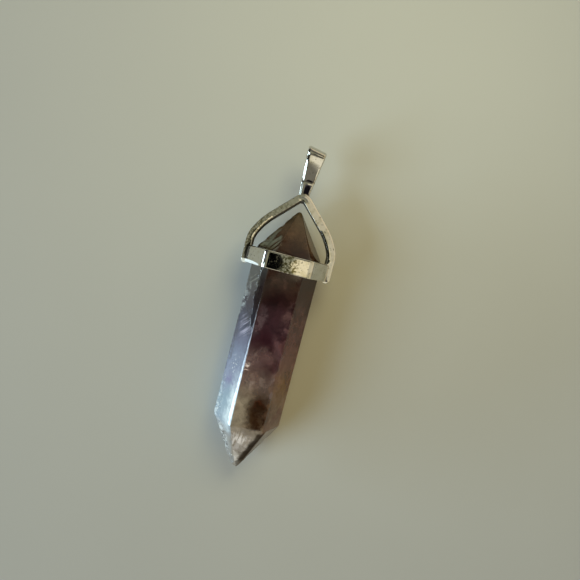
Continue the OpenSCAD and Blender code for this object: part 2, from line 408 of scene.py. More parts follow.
def round_profile(width, depth, radii, steps=5):
    """A rectangle about the origin with rounded corners, as a closed line of points: four quarter circles in
    turn, from the corner at +X +Y on, each with a radius of its own."""
    signs = np.array([[1, 1], [-1, 1], [-1, -1], [1, -1]])
    corners = []
    for turn, sign, radius in zip(range(4), signs, radii):
        angle = np.radians(90 * turn + np.linspace(0, 90, steps + 1))
        centre = sign * (np.array([width, depth]) / 2 - radius)
        corners.append(centre + radius * np.stack([np.cos(angle), np.sin(angle)], 1))
    return np.vstack(corners)


def collar_grid(stone, cap):
    """The collar: the rounded profile of its wall is carried round a hexagon. At each profile point the way
    round is six arcs, joined by straight sides: a hexagon at that distance from the axis whose corners are
    rounded by what is left of the outer corner's radius. The two side corners are cut flat under the legs,
    from where one face meets the cut to where the other does."""
    outside = collar_side(stone, cap)
    # The radius of the inner rims, the least radius of a corner, and how much of a side corner is cut off
    inner_rim, least_corner, corner_cut = 0.1 * MM, 0.03 * MM, 0.4 * MM
    profile = round_profile(
        cap.collar_wall, cap.collar_height, [cap.upper_rim, inner_rim, inner_rim, cap.lower_rim])
    apothem = profile[:, 0] + outside - cap.collar_wall / 2
    height = profile[:, 1] + collar_low(stone, cap) + cap.collar_height / 2
    corner = np.maximum(cap.collar_corner - (outside - apothem), least_corner)
    arc = np.radians(np.linspace(0, 60, 7))
    turn = (SIX[:, None] + arc).ravel()
    middle = np.repeat(SIX + math.radians(30), len(arc))
    centre = ((apothem - corner) / SIDE_SHARE)[:, None]
    x = centre * np.sin(middle) + corner[:, None] * np.sin(turn)
    z = centre * np.cos(middle) + corner[:, None] * np.cos(turn)
    cut = outside / SIDE_SHARE - corner_cut
    corner_z = (apothem[:, None] - cut * math.sin(math.radians(60))) / math.cos(math.radians(60))
    at_the_side = np.abs(np.sin(middle)) > 0.9
    flat = at_the_side & (corner_z > 0)
    # On a cut, z falls like a cosine from where one face meets it to where the other does
    across = np.cos(middle + 3 * (turn - middle))
    z = np.where(flat, corner_z * across, z)
    x = np.where(flat, np.sign(np.sin(middle)) * cut, x)
    return np.stack([x, np.broadcast_to(height[:, None], x.shape), z], 2)


def bow_line(stone, cap):
    """The bow's middle line as rows of x, y, outward direction and share of the full width: the rounded end
    of a leg, the leg, a tight bend, an easy bend, a straight arm and the bend at the top, then the mirror
    image. The bends' centres follow from the leg's place and the height of the top."""
    leg_x = leg_middle(stone, cap)
    foot = collar_low(stone, cap) - cap.leg_drop + cap.strip_width / 2
    top_y = bow_top(stone, cap) - cap.strip_width / 2 - cap.top_radius
    first, last = cap.shoulder_angle, cap.arm_angle
    offset = (cap.shoulder_radius - cap.arm_radius) * np.array([math.cos(first), math.sin(first)])
    arm_x = leg_x - cap.shoulder_radius + offset[0]
    arm_y = top_y + (cap.top_radius - cap.arm_radius - arm_x * math.cos(last)) / math.sin(last)
    shoulder = np.array([arm_x, arm_y]) - offset

    def bend(centre, radius, start, end, steps):
        """Rows along an arc of the full width."""
        turn = np.linspace(start, end, steps + 1)
        x, y = centre[0] + radius * np.cos(turn), centre[1] + radius * np.sin(turn)
        return np.stack([x, y, turn, np.ones(steps + 1)], 1)

    turns = np.radians(np.arange(80, 0, -10))
    rounded = foot - cap.strip_width / 2 * np.sin(turns)
    end = np.stack([np.full(len(turns), leg_x), rounded, np.zeros(len(turns)), np.cos(turns)], 1)
    half = np.vstack([
        end, [[leg_x, foot, 0, 1]], bend(shoulder, cap.shoulder_radius, 0, first, 12),
        bend((arm_x, arm_y), cap.arm_radius, first, last, 14)[1:],
        bend((0, top_y), cap.top_radius, last, math.radians(90), 16)])
    mirrored = half[-2::-1] * [-1, 1, -1, 1] + [0, 0, math.radians(180), 0]
    return np.vstack([half, mirrored])


def bow_grid(stone, cap):
    """The bow: a bevelled profile carried along the middle line, square to it. Each of the profile's four
    edges is a bevel with softened ends, wide where it faces right, slight where it faces left on the outside
    and almost sharp where it faces left on the inside."""
    x, y, turn, share = bow_line(stone, cap).T[..., None]
    wide, slight = cap.strip_bevel, cap.strip_edge
    # One where the outer edge faces right, zero where it faces left, and a blend over the top of the bow
    facing_right = np.clip(0.5 + 0.8 * np.cos(turn), 0, 1)
    outer = slight + (wide - slight) * facing_right
    inner = 0.3 * slight + (wide - 0.3 * slight) * (1 - facing_right)
    # Along a bevel from the front to the side: how much of its width and of its depth is left
    left = np.array([[1.12, 0], [1.0, 0.03], [0.88, 0.09], [0.12, 0.88], [0.03, 1.0], [0, 1.12]])
    half_width, half_depth = cap.strip_width / 2, cap.strip_depth / 2
    # A bevel goes down by this share of its width
    steep = 0.62
    sides = []
    for out, bevel, front, order in (
            (1, outer, 1, 1), (-1, inner, 1, -1), (-1, inner, -1, 1), (1, outer, -1, -1)):
        across = out * (half_width - bevel * left[::-order, 0])
        down = front * (half_depth - steep * bevel * left[::-order, 1])
        sides.append(np.stack([across, down], 2))
    profile = np.concatenate(sides, 1)
    out = profile[..., 0] * share
    depth = profile[..., 1] - np.sign(profile[..., 1]) * (1 - share) * wide
    return np.stack([x + out * np.cos(turn), y + out * np.sin(turn), depth], 2)


def loop_line(stone, cap, depth, rise, low, pull):
    """One side of a loop in side view, from the top down: an ellipse as far as the flank's start, then the
    flank, a Bezier curve that leaves the ellipse along its tangent and is almost upright at the low point.
    The pulls are the distances of the curve's two handles from its ends."""
    steep, end = cap.flank_lean, cap.flank_end
    over = np.linspace(math.radians(90), -math.atan(math.tan(steep) * rise / depth), 29)
    bend = np.stack([depth * np.cos(over), loop_middle(stone, cap) + rise * np.sin(over)], 1)
    start = bend[-1]
    first = start - pull[0] * np.array([math.sin(steep), math.cos(steep)])
    second = low + pull[1] * np.array([math.sin(end), math.cos(end)])
    t = np.linspace(0, 1, 19)[1:, None]
    flank = (1 - t)**3 * start + 3 * (1 - t)**2 * t * first + 3 * (1 - t) * t**2 * second + t**3 * low
    return np.vstack([bend, flank])


def strap_outline(stone, cap, inset):
    """The bail's outer side view, moved in by the inset: the loop, a crease, and below it the neck, a bead
    that is rounded at its upper end and grows thinner, faster and faster, towards its foot inside the bow."""
    # How far the bead stands out and the crease goes in, the height of the crease, the radius of the bead's
    # upper end, and how far the foot reaches into the bow
    stands_out, goes_in, crease_height, shoulder, rooted = 0.09 * MM, 0.12 * MM, 0.05 * MM, 0.2 * MM, 0.4 * MM
    neck_y = bow_top(stone, cap) + cap.neck_height
    bead = cap.neck_depth / 2 + stands_out - inset
    crease = cap.neck_depth / 2 - goes_in - inset
    loop = loop_line(
        stone, cap, cap.bail_depth / 2 - inset, cap.bail_bend - inset, np.array([crease, neck_y]),
        (1.0 * MM, 0.9 * MM))
    round_end = np.radians(np.linspace(80, 0, 8))
    fall = np.linspace(0, 1, 9)[1:]
    foot_y = bow_top(stone, cap) - rooted
    low = neck_y - shoulder - crease_height
    right = np.vstack([
        loop,
        np.stack([bead - shoulder + shoulder * np.cos(round_end), low + shoulder * np.sin(round_end)], 1),
        np.stack([bead - (0.23 * fall + 0.07 * fall**2) * MM, low - (low - foot_y) * fall], 1),
        [[0, foot_y]]])
    return np.vstack([right, right[-2:0:-1] * [-1, 1]])


def eye_outline(stone, cap, inset):
    """The bail's eye in side view, moved into the strap by the inset, with as many points as the strap's
    outer side: the loop, and a small arc that closes it at the low end."""
    # The radius of the small arc, and how far its middle is above the neck
    arc_radius, above_neck = 0.18 * MM, 0.7 * MM
    small = arc_radius + inset
    low_y = bow_top(stone, cap) + cap.neck_height + above_neck
    wall = cap.bail_wall - inset
    loop = loop_line(
        stone, cap, cap.bail_depth / 2 - wall, cap.bail_bend - wall, np.array([small, low_y]),
        (1.0 * MM, 0.8 * MM))
    under = np.radians(np.linspace(0, -90, 18))[1:]
    right = np.vstack([loop, np.stack([small * np.cos(under), low_y + small * np.sin(under)], 1)])
    return np.vstack([right, right[-2:0:-1] * [-1, 1]])


def bail_grid(stone, cap):
    """The bail: the strap's outer and inner side views, moved in step by step towards the strap's two side
    planes, which bevels its outer edges and rounds the inner ones. The strap's width grows evenly from the
    foot to the top, the top is bent a little askew, and the whole bail leans to the right."""
    # How far each step of the outer face's slight crown and of its bevel lies inside the strap's side, and
    # below the middle of the face
    bevel = np.array([
        [0.52, 0], [0.38, 0.008], [0.25, 0.022], [0.22, 0.028], [0.19, 0.042], [0.045, 0.145], [0.015, 0.17],
        [0, 0.195]]) * MM
    turns = np.radians(np.linspace(90, 0, 6))
    inner_edge = 0.12 * MM
    inner = inner_edge * np.stack([1 - np.sin(turns), 1 - np.cos(turns)], 1)
    steps = [(strap_outline, across, down) for across, down in bevel] + [
        (eye_outline, across, down) for across, down in inner]
    middle, pivot = loop_middle(stone, cap), lean_point(stone, cap)
    # The top starts to bend askew this far below the loop's widest place
    askew_from = 1 * MM
    layers = []
    for side in (1, -1):
        for outline, across, down in steps[::side]:
            depth, height = outline(stone, cap, down).T
            share = (height - bow_top(stone, cap)) / cap.bail_height
            half = (cap.bail_foot_width + (cap.bail_top_width - cap.bail_foot_width) * share) / 2
            # The bevel is half as wide on the right
            x = half - across / 2 if side > 0 else across - half
            bent = np.clip((height - middle + askew_from) / (askew_from + cap.bail_bend), 0, 1)
            up = height - math.tan(cap.bail_askew) * (x + half) * bent - pivot
            layers.append(np.stack([
                x * math.cos(cap.bail_lean) + up * math.sin(cap.bail_lean),
                pivot + up * math.cos(cap.bail_lean) - x * math.sin(cap.bail_lean), depth], 1))
    return np.stack(layers)


def soldered(name, meshes):
    """One closed body from several closed meshes that reach into each other."""
    parts = []
    for mesh in meshes:
        mesh.transform(Matrix.Scale(ROOMY, 4))
        part = bpy.data.objects.new(name, mesh)
        bpy.context.scene.collection.objects.link(part)
        parts.append(part)
    for other in parts[1:]:
        joint = parts[0].modifiers.new("solder", "BOOLEAN")
        joint.operation = "UNION"
        joint.solver = "EXACT"
        joint.object = other
    ready = parts[0].evaluated_get(bpy.context.evaluated_depsgraph_get())
    mesh = bpy.data.meshes.new_from_object(ready)
    mesh.transform(Matrix.Scale(1 / ROOMY, 4))
    for part in parts:
        bpy.data.objects.remove(part)
    mesh.name = name
    return mesh


def linear(colour):
    """An sRGB hex value as linear red, green, blue and 1."""
    steps = [int(colour[i:i + 2], 16) / 255 for i in (1, 3, 5)]
    return [s / 12.92 if s <= 0.04045 else ((s + 0.055) / 1.055) ** 2.4 for s in steps] + [1.0]


def add_node(tree, kind, inputs=None, stops=None, **settings):
    """Adds a node with its settings. Each input, by name or number, gets a value or a link, either from an
    output of another node or from the node itself, which stands for the first output that it has in use.
    Stops are a colour ramp's places and colours."""
    node = tree.nodes.new(kind)
    for key, value in settings.items():
        setattr(node, key, value)
    for key, value in (inputs or {}).items():
        if isinstance(value, bpy.types.Node):
            value = next(output for output in value.outputs if output.enabled)
        if isinstance(value, bpy.types.NodeSocket):
            tree.links.new(value, node.inputs[key])
        else:
            node.inputs[key].default_value = value
    for i, (place, colour) in enumerate(stops or []):
        stop = node.color_ramp.elements[i] if i < 2 else node.color_ramp.elements.new(place)
        stop.position = place
        stop.color = colour
    return node


def new_material(name):
    """A material without nodes, and its node tree."""
    material = bpy.data.materials.new(name)
    material.use_nodes = True
    material.node_tree.nodes.clear()
    return material, material.node_tree


def pendant_place(tree, stone, cap):
    """Object coordinates as millimetres in the pendant's own frame."""
    tilt, shift = resting_place(stone, cap)
    back = Matrix.Rotation(-tilt, 3, "X")
    origin = back @ Matrix.Translation(shift).to_translation() / MM
    place = add_node(tree, "ShaderNodeTexCoord").outputs["Object"]
    return add_node(tree, "ShaderNodeMapping", {
        "Vector": place, "Location": -origin, "Rotation": (-tilt, 0, 0), "Scale": (1 / MM, 1 / MM, 1 / MM)})


def ellipsoid(tree, place, middle, reach, full, name=""):
    """One within the full share of an ellipsoid's reach, and from there a smooth fall to zero at its
    surface."""
    near = add_node(tree, "ShaderNodeMapping", {
        "Vector": place, "Location": middle, "Scale": reach}, vector_type="TEXTURE", label=name)
    far = add_node(tree, "ShaderNodeVectorMath", {0: near}, operation="LENGTH")
    return add_node(tree, "ShaderNodeMapRange", {
        "Value": far, "From Min": 1.0, "From Max": full}, interpolation_type="SMOOTHSTEP")


def bow_recess_shade(tree, place, stone, cap):
    """One between the bow's arms, where the strip's inner sides get painted shade, and zero elsewhere: above
    the collar, under the level of the front face, and nearer to the axis than the strip's middle line, which
    is upright along the legs and slants along the arms."""
    parts = add_node(tree, "ShaderNodeSeparateXYZ", {"Vector": place}).outputs
    sideways, deep = (
        add_node(tree, "ShaderNodeMath", {0: parts[axis]}, operation="ABSOLUTE") for axis in "XZ")
    slant = add_node(tree, "ShaderNodeMath", {
        0: parts["Y"], 1: math.tan(cap.arm_angle), 2: sideways}, operation="MULTIPLY_ADD")
    top = (bow_top(stone, cap) - cap.strip_width / 2) / MM
    # The limits stay this far inside the strip's front face, and reach this far past its middle line and
    # above the collar, in mm
    inside, past, above = 0.01, 0.2, 0.05
    share = 1.0
    for value, limit, side in (
            (parts["Y"], (collar_low(stone, cap) + cap.collar_height) / MM + above, "GREATER_THAN"),
            (sideways, leg_middle(stone, cap) / MM, "LESS_THAN"),
            (slant, math.tan(cap.arm_angle) * top + past, "LESS_THAN"),
            (deep, cap.strip_depth / 2 / MM - inside, "LESS_THAN")):
        check = add_node(tree, "ShaderNodeMath", {0: value, 1: limit}, operation=side)
        share = add_node(tree, "ShaderNodeMath", {0: check, 1: share}, operation="MULTIPLY")
    return share


def tarnish_and_painted_mottle(tree, place, rim):
    """The share of thick tarnish with painted mottled reflection: blotches on the middle of the collar's
    front and on the left shoulder.
    """
    blotches = add_node(tree, "ShaderNodeTexNoise", {
        "Vector": place, "Scale": 3.6, "Detail": 4.0, "Roughness": 0.65, "Distortion": 0.3})
    blotched = add_node(tree, "ShaderNodeMapRange", {
        "Value": blotches, "From Min": 0.44, "From Max": 0.58}, interpolation_type="SMOOTHSTEP")
    tarnish_and_mottle = 0.0
    for middle, reach, most in (
            ((0.15, rim + 1.0, 5.0), (1.25, 1.8, 1.4), 1.0), ((-4.6, 29.8, 1.1), (2.4, 2.4, 1.6), 0.9),
            ((-2.4, 32.6, 1.1), (2.4, 2.0, 1.6), 0.4)):
        share = add_node(tree, "ShaderNodeMath", {
            0: ellipsoid(tree, place, middle, reach, 0.75), 1: most}, operation="MULTIPLY")
        tarnish_and_mottle = add_node(tree, "ShaderNodeMath", {0: share, 1: tarnish_and_mottle}, operation="MAXIMUM")
    return add_node(tree, "ShaderNodeMath", {0: tarnish_and_mottle, 1: blotched}, operation="MULTIPLY")


def silver_plate(stone, cap, finish):
    """Polished silver plate over cast brass: a mirror with a faint orange peel from the casting, which bends
    what it mirrors into streaks and patches, a thin olive film of tarnish whose thicker blotches carry
    painted mottled reflection, and pits that the polish left. The left end of the collar's lower rim is
    rough, with a painted white highlight, and the bow's inner sides between the arms carry painted shade."""
    material, tree = new_material("silver_plate_polished")
    place = pendant_place(tree, stone, cap)
    film = add_node(tree, "ShaderNodeTexNoise", {
        "Vector": place, "Scale": 0.9, "Detail": 4.0, "Roughness": 0.6})
    patches = add_node(tree, "ShaderNodeMapRange", {
        "Value": film, "From Min": 0.45, "From Max": 0.75, "To Max": 0.6}, interpolation_type="SMOOTHSTEP")
    grit = add_node(tree, "ShaderNodeTexNoise", {
        "Vector": place, "Scale": 5.0, "Detail": 3.0, "Roughness": 0.7})
    # Pits and dull specks about 0.1 mm wide
    specks = add_node(tree, "ShaderNodeMapRange", {
        "Value": grit, "From Min": 0.39, "From Max": 0.33}, interpolation_type="SMOOTHSTEP")
    dull = add_node(tree, "ShaderNodeMapRange", {
        "Value": grit, "From Min": 0.35, "From Max": 0.8, "To Min": 0.015, "To Max": 0.05})
    rim = collar_low(stone, cap) / MM
    # Tarnish blotches that also carry a painted mottled reflection
    tarnish_and_mottle = tarnish_and_painted_mottle(tree, place, rim)
    # Painted highlight: the left end of the collar's lower rim is rough and painted near white
    matt = ellipsoid(tree, place, (-5.0, rim + 0.1, 2.4), (2.35, 0.3, 3.4), 0.8)
    # Painted shade: the strip's inner sides between the bow's arms are darkened as dark dull metal
    painted_recess_shade = bow_recess_shade(tree, place, stone, cap)
    colour, rough = linear(finish.silver), dull
    # Of these tints, the dark one between the bow's arms is painted shade, the near white one at the rim's
    # left end a painted highlight, and the olive blotches carry painted mottled reflection
    for share, tint in (
            (patches, finish.tarnish), (specks, "#4A4632"), (tarnish_and_mottle, "#66603C"), (painted_recess_shade, "#322E26"),
            (matt, "#FBFDFD")):
        colour = add_node(tree, "ShaderNodeMix", {0: share, 6: colour, 7: linear(tint)}, data_type="RGBA")
    for share, dullness in ((painted_recess_shade, 0.5), (matt, 0.45)):
        rough = add_node(tree, "ShaderNodeMix", {0: share, 2: rough, 3: dullness})
    painted_light_marks = add_node(tree, "ShaderNodeMath", {0: matt, 1: painted_recess_shade}, operation="MAXIMUM")
    metal = add_node(tree, "ShaderNodeMapRange", {"Value": painted_light_marks, "To Min": 1.0, "To Max": 0.25})
    peel = add_node(tree, "ShaderNodeTexNoise", {
        "Vector": place, "Scale": 1.1, "Detail": 3.0, "Roughness": 0.55})
    bump = add_node(tree, "ShaderNodeBump", {"Height": peel, "Strength": 1.0, "Distance": 0.0009 * MM})
    pits = add_node(tree, "ShaderNodeBump", {
        "Height": specks, "Strength": 1.0, "Distance": -0.0004 * MM, "Normal": bump})
    surface = add_node(tree, "ShaderNodeBsdfPrincipled", {
        "Base Color": colour, "Metallic": metal, "Roughness": rough, "Normal": pits})
    add_node(tree, "ShaderNodeOutputMaterial", {"Surface": surface})
    return material


# The stone's colour and milkiness as it grew, with painted sheen of the window light in the left side's pale
# blues:
# the place along it in mm from the unblunted lower tip, the colour, and how milky it is. First the front,
# then the right and the left side
FRONT_GROWTH = [
    (1, "#B0A8A2", 0.6), (5, "#B4A498", 0.5), (7, "#CDB8A2", 0.45), (10, "#B39B87", 0.42),
    (12.5, "#A3847B", 0.42), (15, "#8C6A6A", 0.42), (18, "#482C34", 0.65), (20.5, "#3C2228", 0.7),
    (23, "#321A14", 0.7), (26, "#462E24", 0.7), (27.5, "#2A160E", 0.85), (28.8, "#3C2618", 0.8),
    (30.5, "#5A4434", 0.75), (33.5, "#64543F", 0.7),
]
RIGHT_GROWTH = [
    (1, "#30281E", 0.85), (5.5, "#34261A", 0.85), (7, "#5C4034", 0.85), (11, "#5E4228", 0.85),
    (15, "#6C4A42", 0.85), (18, "#543234", 0.85), (21.5, "#301418", 0.9), (25, "#2A1410", 0.9),
]
# On the left side the pale blues are milky haze with painted sheen of the window light
LEFT_HAZE_AND_SHEEN = [
    (1, "#A8A4A2", 0.8), (5, "#B4AEAA", 0.75), (6.5, "#B7C5D6", 0.75), (9.5, "#B9CDDD", 0.7),
    (12, "#B8BEDA", 0.65), (15, "#A9B1CC", 0.6), (16.8, "#84849E", 0.65), (18.4, "#54546A", 0.75),
    (20.3, "#4A4856", 0.8), (21.5, "#463E48", 0.8), (23, "#504A4C", 0.8), (25, "#5B5753", 0.8),
]
# All growth ramps end here, in mm
RAMP_END = 34.0

# Zones laid over the growth in turn, on the front and on the left side: the middle of an ellipsoid and its
# reach in mm, the colour, how milky it is, its strength and its pattern
FRONT_ZONES = [
    ("brown mauve under the collar", (-0.4, 25.2, 3.6), (1.8, 1.5, 1.6), "#6A4A42", 0.5, 0.8, "cloud"),
    ("dark heart", (-0.2, 22.8, 3.6), (2.5, 2.0, 2.0), "#200804", 0.8, 1.0, "plain"),
    ("olive brown, upper right", (2.9, 24.6, 2.6), (2.6, 2.2, 5.0), "#38200F", 0.75, 0.9, "plain"),
    ("mauve, upper right", (2.9, 21.0, 2.4), (2.2, 3.2, 6.0), "#8E6A6A", 0.45, 1.0, "cloud"),
    ("dark streak, upper right", (2.2, 22.7, 3.4), (0.45, 1.5, 1.2), "#2A120A", 0.8, 0.8, "plain"),
    ("dark brown by the left edge", (-1.9, 23.6, 3.6), (0.9, 3.2, 1.2), "#241210", 0.8, 0.8, "plain"),
    ("grey mauve by the narrow facet", (-1.5, 19.7, 3.6), (0.9, 2.4, 1.0), "#7C6870", 0.5, 0.75, "cloud"),
    ("plum heart", (-0.3, 17.6, 3.6), (2.1, 3.0, 1.6), "#3C1E26", 0.65, 0.9, "plain"),
    ("mauve cloud", (2.6, 17.4, 2.6), (2.6, 3.8, 7.0), "#8A626A", 0.45, 1.0, "cloud"),
    ("rosy haze", (-0.9, 15.2, 3.6), (1.7, 1.8, 1.4), "#A88C8A", 0.45, 0.9, "cloud"),
    ("maroon below the heart", (1.4, 14.5, 3.4), (1.9, 1.7, 4.0), "#603C40", 0.45, 0.9, "plain"),
    ("veil", (-0.3, 12.5, 3.6), (2.0, 1.5, 1.5), "#BBA6A2", 0.5, 0.8, "cloud"),
    ("veil, right end", (1.5, 12.3, 3.6), (1.5, 1.3, 1.3), "#AA908E", 0.45, 0.8, "wisp"),
    ("clear window", (-1.2, 8.7, 3.6), (1.9, 4.8, 1.4), "#D2C0AC", 0.46, 0.9, "plain"),
    ("smoke", (1.1, 9.9, 3.6), (2.4, 2.6, 1.6), "#3A2012", 0.6, 1.0, "plain"),
    ("smoke below", (0.9, 8.0, 3.6), (2.3, 2.8, 1.6), "#523A26", 0.5, 1.0, "plain"),
    ("red spot in the smoke", (1.0, 9.9, 3.6), (0.9, 0.7, 1.0), "#7A3A22", 0.4, 0.7, "cloud"),
    ("mauve band", (2.6, 9.8, 3.0), (0.75, 3.6, 3.0), "#A68C8A", 0.45, 1.0, "comb"),
    ("smoke, low right", (1.6, 8.2, 3.5), (1.7, 3.2, 1.8), "#331A0E", 0.6, 1.0, "cloud"),
    ("striae in the smoke", (2.7, 8.4, 3.2), (0.9, 3.4, 2.0), "#94786C", 0.5, 0.8, "comb"),
    ("lilac at the band's top", (1.7, 12.0, 3.4), (0.9, 1.5, 1.2), "#BCA6AC", 0.5, 0.8, "comb"),
    ("amber edge", (3.3, 12.2, 1.6), (1.2, 2.8, 4.0), "#A88450", 0.4, 1.0, "plain"),
    ("dark line beside the amber", (3.85, 12.6, 0.6), (0.4, 2.6, 2.0), "#5E4224", 0.4, 1.0, "plain"),
    ("mauve patch", (3.6, 8.6, 1.0), (0.9, 1.5, 2.4), "#765658", 0.45, 1.0, "plain"),
    ("rose", (2.9, 7.6, 2.2), (1.3, 1.5, 3.0), "#A08478", 0.45, 0.9, "cloud"),
    ("first wisp", (-1.35, 14.5, 3.6), (0.7, 0.36, 0.8), "#FFEEF0", 0.9, 1.0, "plain"),
    ("second wisp", (-1.45, 13.7, 3.6), (0.9, 0.2, 0.8), "#FCE8E8", 0.85, 1.0, "plain"),
    ("ground facet", (-0.4, 3.7, 2.3), (2.1, 2.4, 3.0), "#D0C8CC", 0.8, 0.95, "cloud"),
    ("grinding marks", (-0.5, 5.0, 2.9), (2.0, 1.9, 2.4), "#E6DEE0", 0.8, 1.0, "comb"),
    ("grey tip", (-0.3, 1.9, 1.0), (1.6, 2.1, 2.0), "#D6D2D4", 0.85, 1.0, "plain"),
    ("grey left edge of the upper point", (-3.1, 29.6, 1.4), (1.1, 3.6, 2.6), "#8A8A78", 0.7, 0.9, "cloud"),
    ("light streaks, upper left facet", (-2.3, 29.7, 2.0), (1.3, 2.8, 3.0), "#8C8C7C", 0.7, 0.8, "fan"),
    ("brown, upper left facet", (-0.9, 29.1, 3.7), (1.0, 2.8, 1.8), "#4E3222", 0.4, 0.9, "plain"),
    ("reddish foot of the upper point", (1.0, 28.2, 3.2), (3.0, 2.2, 2.8), "#260E08", 0.9, 1.0, "plain"),
    ("lighter right facet, upper point", (2.7, 29.2, 1.9), (1.2, 3.0, 2.0), "#6E5646", 0.7, 0.8, "cloud"),
]
LEFT_ZONES = [
    ("whitish patch", (-3.9, 23.0, 0.5), (0.7, 1.8, 1.6), "#D8DAD4", 0.85, 1.0, "cloud"),
    ("streaks under the collar", (-3.2, 24.2, 1.7), (1.4, 1.2, 2.0), "#A8A496", 0.6, 0.9, "fan"),
    ("dark corner", (-2.2, 22.9, 3.5), (1.3, 4.2, 2.4), "#33262A", 0.85, 1.0, "plain"),
    ("dark grey middle", (-3.0, 19.9, 2.2), (1.5, 1.2, 2.4), "#38343C", 0.8, 0.9, "cloud"),
    ("lilac streaks", (-2.9, 18.4, 2.2), (1.6, 1.9, 2.8), "#C4BCD2", 0.75, 0.9, "fan"),
    ("dark line by the narrow facet", (-2.25, 17.3, 3.35), (0.25, 1.8, 0.45), "#5A5E70", 0.4, 0.8, "plain"),
    ("shade along the left edge", (-4.3, 15.5, -0.2), (1.1, 9.5, 2.0), "#6C6872", 0.55, 0.9, "cloud"),
    ("violet drift", (-3.3, 11.6, 1.5), (1.1, 1.6, 2.0), "#A8A0CC", 0.6, 0.9, "cloud"),
    # Milky haze with a painted glow of the window's light along the narrow facet
    ("white glow", (-2.35, 9.0, 3.0), (0.9, 5.4, 1.5), "#F2FAFF", 0.9, 1.0, "plain"),
    ("white glow, low", (-2.5, 7.2, 2.8), (1.5, 2.6, 2.4), "#EEF8FF", 0.9, 0.8, "cloud"),
    ("grey drifts on the lower facet", (-2.4, 3.9, 0.4), (1.9, 2.8, 2.6), "#5C5A60", 0.6, 0.9, "fan"),
    ("crumbled edge, low", (-4.1, 8.4, 0.1), (0.95, 3.8, 1.7), "#F2F8FC", 0.9, 0.9, "crumb"),
    ("crumbled edge of the lower point", (-2.4, 4.2, 0.5), (1.7, 4.2, 2.5), "#F2F4F6", 0.9, 1.0, "crumb"),
    ("crumbled edge, high", (-4.2, 21.3, 0.0), (0.9, 3.0, 1.6), "#C4C8CA", 0.85, 0.8, "crumb"),
]

# Worn places with small cracks and crumbs: the middle of an ellipsoid and its reach in mm
WORN = [
    ((-4.1, 8.4, 0.3), (1.3, 5.0, 2.4)),
    ((-2.4, 3.6, 0.2), (1.9, 3.4, 2.4)),
    ((-0.7, 2.1, 1.1), (0.9, 1.0, 1.2)),
    ((-4.2, 21.2, 0.0), (0.8, 2.2, 1.5)),
    ((-3.0, 13.8, 2.0), (0.9, 1.8, 1.6)),
]


def drifting(tree, place):
    """The place pushed about by three sizes of noise, which gives zones the drifting edges of grown colour,
    and the finest push on its own."""
    drift = place
    for scale, reach in ((0.5, 1.3), (2.2, 0.45), (6.0, 0.16)):
        noise = add_node(tree, "ShaderNodeTexNoise", {"Vector": place, "Scale": scale, "Detail": 3.0})
        push = add_node(tree, "ShaderNodeVectorMath", {
            0: noise.outputs["Color"], 1: (0.5, 0.5, 0.5)}, operation="SUBTRACT")
        scaled = add_node(tree, "ShaderNodeVectorMath", {0: push, "Scale": reach * 2}, operation="SCALE")
        drift = add_node(tree, "ShaderNodeVectorMath", {0: drift, 1: scaled}, operation="ADD")
    return drift, push


def grains(tree, place, drift):
    """The patterns that a zone can have. A grain is noise that is stretched and turned: its turn about the
    front direction in degrees, its size in mm across, along and through, its detail, its distortion, and the
    noise values where it starts and is full."""
    patterns = {"plain": 1.0}
    for name, source, turn, size, detail, bent, low, high in (
            ("cloud", drift, 20, (1.1, 1.4, 1.6), 5.0, 0.5, 0.36, 0.62),
            ("comb", place, -3, (0.2, 3.0, 0.8), 2.0, 0.1, 0.42, 0.58),
            ("fan", place, 52, (3.0, 0.22, 6.0), 2.0, 0.1, 0.42, 0.58),
            ("wisp", drift, -28, (1.2, 0.16, 2.0), 4.0, 0.4, 0.46, 0.62),
            ("crumb", place, 15, (0.55, 0.4, 0.8), 4.0, 0.3, 0.44, 0.56)):
        turned = add_node(tree, "ShaderNodeMapping", {
            "Vector": source, "Rotation": (0, 0, math.radians(turn)), "Scale": size}, vector_type="TEXTURE")
        grain = add_node(tree, "ShaderNodeTexNoise", {
            "Vector": turned, "Scale": 1.0, "Detail": detail, "Roughness": 0.55, "Distortion": bent})
        patterns[name] = add_node(tree, "ShaderNodeMapRange", {
            "Value": grain, "From Min": low, "From Max": high}, interpolation_type="SMOOTHSTEP")
    return patterns


def growth(tree, along, stops):
    """Colour and milkiness by the place along the stone."""
    share = add_node(tree, "ShaderNodeMath", {0: along, 1: RAMP_END}, operation="DIVIDE")
    ramp = add_node(tree, "ShaderNodeValToRGB", {"Fac": share}, stops=[
        (y / RAMP_END, linear(tint)[:3] + [milk]) for y, tint, milk in stops])
    return ramp.outputs["Color"], ramp.outputs["Alpha"]


def laid_on(tree, share, under, over):
    """A pair of colour and milkiness, with another pair laid on it by a share."""
    return (
        add_node(tree, "ShaderNodeMix", {0: share, 6: under[0], 7: over[0]}, data_type="RGBA"),
        add_node(tree, "ShaderNodeMix", {0: share, 2: under[1], 3: over[1]}))


def zoned(tree, drift, patterns, look, zones):
    """A pair of colour and milkiness with the zones laid on it in turn."""
    for name, middle, reach, tint, milky, strength, pattern in zones:
        share = ellipsoid(tree, drift, middle, reach, 0.15, name)
        for part in (strength, patterns[pattern]):
            share = add_node(tree, "ShaderNodeMath", {0: share, 1: part}, operation="MULTIPLY")
        look = laid_on(tree, share, look, (linear(tint), milky))
    return look


def past_edge(tree, parts, slope):
    """How far in mm a place lies to the right of a long edge of the front face: X plus Z by the slope of the
    line that runs from the axis through that edge."""
    return add_node(tree, "ShaderNodeMath", {
        0: parts["Z"], 1: slope, 2: parts["X"]}, operation="MULTIPLY_ADD")


